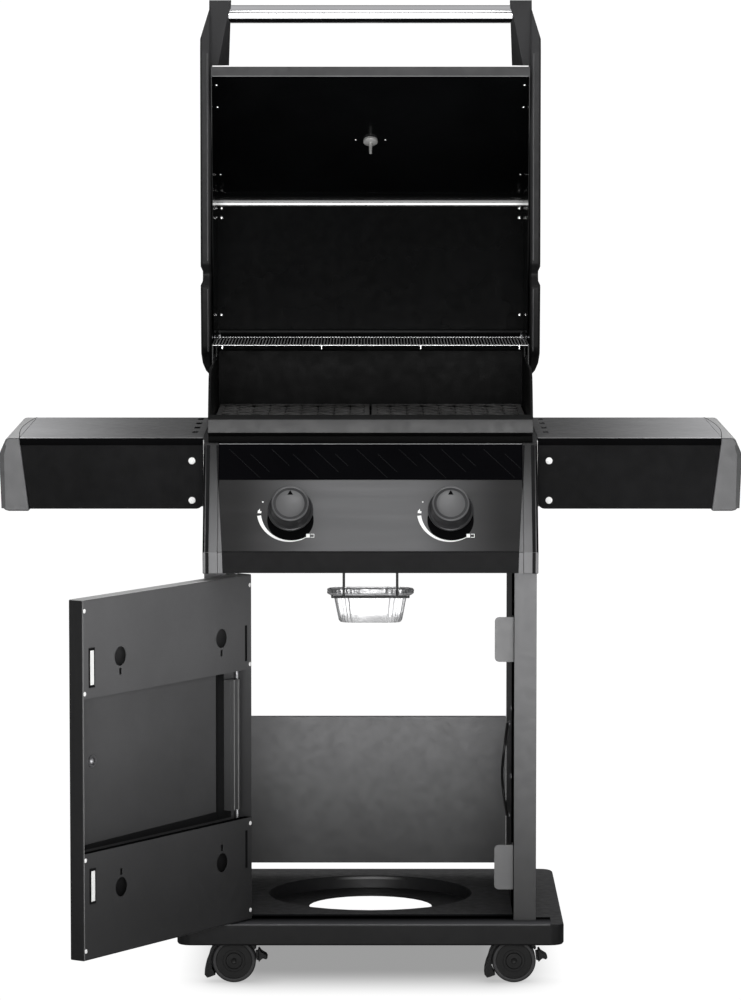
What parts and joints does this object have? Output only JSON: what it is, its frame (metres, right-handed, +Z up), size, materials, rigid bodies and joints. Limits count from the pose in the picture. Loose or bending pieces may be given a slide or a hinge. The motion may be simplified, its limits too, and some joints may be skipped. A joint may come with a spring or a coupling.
{
  "type": "gas barbecue grill",
  "caption": "Cart-mounted gas barbecue grill with an opening lid, folding side shelves, a cabinet door, control knobs and swivel casters.",
  "frame": {"origin": "centre of the bounding box on the floor, in the stored pose with the lid and the door open", "axes": "+X to the right shelf as seen from the front, -Y to the front where the cook stands, +Z up"},
  "size_m": [1.1598, 1.0138, 1.5465],
  "materials": {
    "black_paint": "black satin powder coat",
    "enamel": "gloss black porcelain enamel",
    "grey_paint": "dark grey satin powder coat",
    "cast_iron": "seasoned matt cast iron",
    "cast_alu": "dark grey painted casting",
    "chrome": "polished plating",
    "steel": "bare sheet and bar",
    "foil": "bright pressed foil",
    "brass": "machined",
    "plastic": "black moulded nylon",
    "rubber": "hard rubber tread"
  },
  "bodies": {
    "cart": {"base_shelf": "black_paint", "left_side_panel": "black_paint", "right_side_panel": "black_paint", "rear_panel": "grey_paint", "door_hinge_rod": "steel", "upper_catch_plate": "grey_paint", "lower_catch_plate": "grey_paint", "control_panel": "grey_paint", "left_end_bezel": "cast_alu", "right_end_bezel": "cast_alu", "manifold": "steel", "left_valve_body": "brass", "right_valve_body": "brass", "firebox": "cast_alu", "left_cooking_grid": "cast_iron", "right_cooking_grid": "cast_iron", "left_sear_plate": "steel", "right_sear_plate": "steel", "left_burner": "steel", "right_burner": "steel", "warming_rack": "chrome", "left_lid_pivot": "steel", "right_lid_pivot": "steel", "left_shelf_bracket": "grey_paint", "right_shelf_bracket": "grey_paint"},
    "door": {"door_shell": "grey_paint", "door_upper_plate": "grey_paint", "door_lower_plate": "grey_paint", "door_handle": "steel"},
    "lid": {"lid_shell": "enamel", "left_lid_casting": "cast_alu", "right_lid_casting": "cast_alu", "lid_handle_bar": "chrome", "thermometer": "chrome"},
    "grease_tray": {"grease_pan": "steel", "cup_hanger": "chrome", "foil_cup": "foil"},
    "left_shelf": {"left_shelf_top": "black_paint", "left_shelf_fascia": "black_paint", "left_shelf_end_cap": "grey_paint"},
    "left_valve_push": {"left_valve_plunger": "steel"},
    "left_knob_turn": {"left_knob": "plastic", "left_valve_stem": "steel"},
    "right_shelf": {"right_shelf_top": "black_paint", "right_shelf_fascia": "black_paint", "right_shelf_end_cap": "grey_paint"},
    "right_valve_push": {"right_valve_plunger": "steel"},
    "right_knob_turn": {"right_knob": "plastic", "right_valve_stem": "steel"},
    "front_left_caster": {"front_left_caster_fork": "plastic"},
    "front_left_roller": {"front_left_wheel": "rubber"},
    "front_left_brake": {"front_left_brake_pedal": "plastic"},
    "front_right_caster": {"front_right_caster_fork": "plastic"},
    "front_right_roller": {"front_right_wheel": "rubber"},
    "front_right_brake": {"front_right_brake_pedal": "plastic"},
    "rear_left_caster": {"rear_left_caster_fork": "plastic"},
    "rear_left_roller": {"rear_left_wheel": "rubber"},
    "rear_right_caster": {"rear_right_caster_fork": "plastic"},
    "rear_right_roller": {"rear_right_wheel": "rubber"}
  },
  "joints": [
    {"name": "door_hinge", "type": "hinge", "parent": "cart", "child": "door", "pos_m": [-0.21, -0.13572, 0.35], "axis": [0, 0, 1], "range_deg": [-10, 123.4]},
    {"name": "lid_hinge", "type": "hinge", "parent": "cart", "child": "lid", "pos_m": [0, 0.27428, 0.996], "axis": [1, 0, 0], "range_deg": [0, 90]},
    {"name": "grease_tray_slide", "type": "slide", "parent": "cart", "child": "grease_tray", "axis": [0, 1, 0], "range_m": [0, 0.25]},
    {"name": "left_shelf_fold", "type": "hinge", "parent": "cart", "child": "left_shelf", "pos_m": [-0.2787, 0.08428, 0.7668], "axis": [0, -1, 0], "range_deg": [0, 90]},
    {"name": "left_knob_push", "type": "slide", "parent": "cart", "child": "left_valve_push", "axis": [0, 0.8949, -0.4462], "range_m": [0, 0.006], "stiffness_N_per_m": 800, "springref_m": -0.003},
    {"name": "left_knob_rotate", "type": "hinge", "parent": "left_valve_push", "child": "left_knob_turn", "pos_m": [-0.124, -0.21102, 0.7546], "axis": [0, -0.8949, 0.4462], "range_deg": [0, 210]},
    {"name": "right_shelf_fold", "type": "hinge", "parent": "cart", "child": "right_shelf", "pos_m": [0.2787, 0.08428, 0.7668], "axis": [0, 1, 0], "range_deg": [0, 90]},
    {"name": "right_knob_push", "type": "slide", "parent": "cart", "child": "right_valve_push", "axis": [0, 0.8949, -0.4462], "range_m": [0, 0.006], "stiffness_N_per_m": 800, "springref_m": -0.003},
    {"name": "right_knob_rotate", "type": "hinge", "parent": "right_valve_push", "child": "right_knob_turn", "pos_m": [0.124, -0.21102, 0.7546], "axis": [0, -0.8949, 0.4462], "range_deg": [0, 210]},
    {"name": "front_left_swivel", "type": "hinge", "parent": "cart", "child": "front_left_caster", "pos_m": [-0.221, -0.11572, 0.08], "axis": [0, 0, 1], "continuous": true},
    {"name": "front_left_roll", "type": "hinge", "parent": "front_left_caster", "child": "front_left_roller", "pos_m": [-0.2155, -0.11572, 0.0345], "axis": [0, 1, 0], "continuous": true},
    {"name": "front_left_brake", "type": "hinge", "parent": "front_left_caster", "child": "front_left_brake", "pos_m": [-0.177, -0.11572, 0.0495], "axis": [0, 1, 0], "range_deg": [0, 8]},
    {"name": "front_right_swivel", "type": "hinge", "parent": "cart", "child": "front_right_caster", "pos_m": [0.221, -0.11572, 0.08], "axis": [0, 0, 1], "continuous": true},
    {"name": "front_right_roll", "type": "hinge", "parent": "front_right_caster", "child": "front_right_roller", "pos_m": [0.2265, -0.11572, 0.0345], "axis": [0, 1, 0], "continuous": true},
    {"name": "front_right_brake", "type": "hinge", "parent": "front_right_caster", "child": "front_right_brake", "pos_m": [0.265, -0.11572, 0.0495], "axis": [0, 1, 0], "range_deg": [0, 8]},
    {"name": "rear_left_swivel", "type": "hinge", "parent": "cart", "child": "rear_left_caster", "pos_m": [-0.221, 0.29928, 0.08], "axis": [0, 0, 1], "continuous": true},
    {"name": "rear_left_roll", "type": "hinge", "parent": "rear_left_caster", "child": "rear_left_roller", "pos_m": [-0.2155, 0.29928, 0.0345], "axis": [0, 1, 0], "continuous": true},
    {"name": "rear_right_swivel", "type": "hinge", "parent": "cart", "child": "rear_right_caster", "pos_m": [0.221, 0.29928, 0.08], "axis": [0, 0, 1], "continuous": true},
    {"name": "rear_right_roll", "type": "hinge", "parent": "rear_right_caster", "child": "rear_right_roller", "pos_m": [0.2265, 0.29928, 0.0345], "axis": [0, 1, 0], "continuous": true}
  ]
}
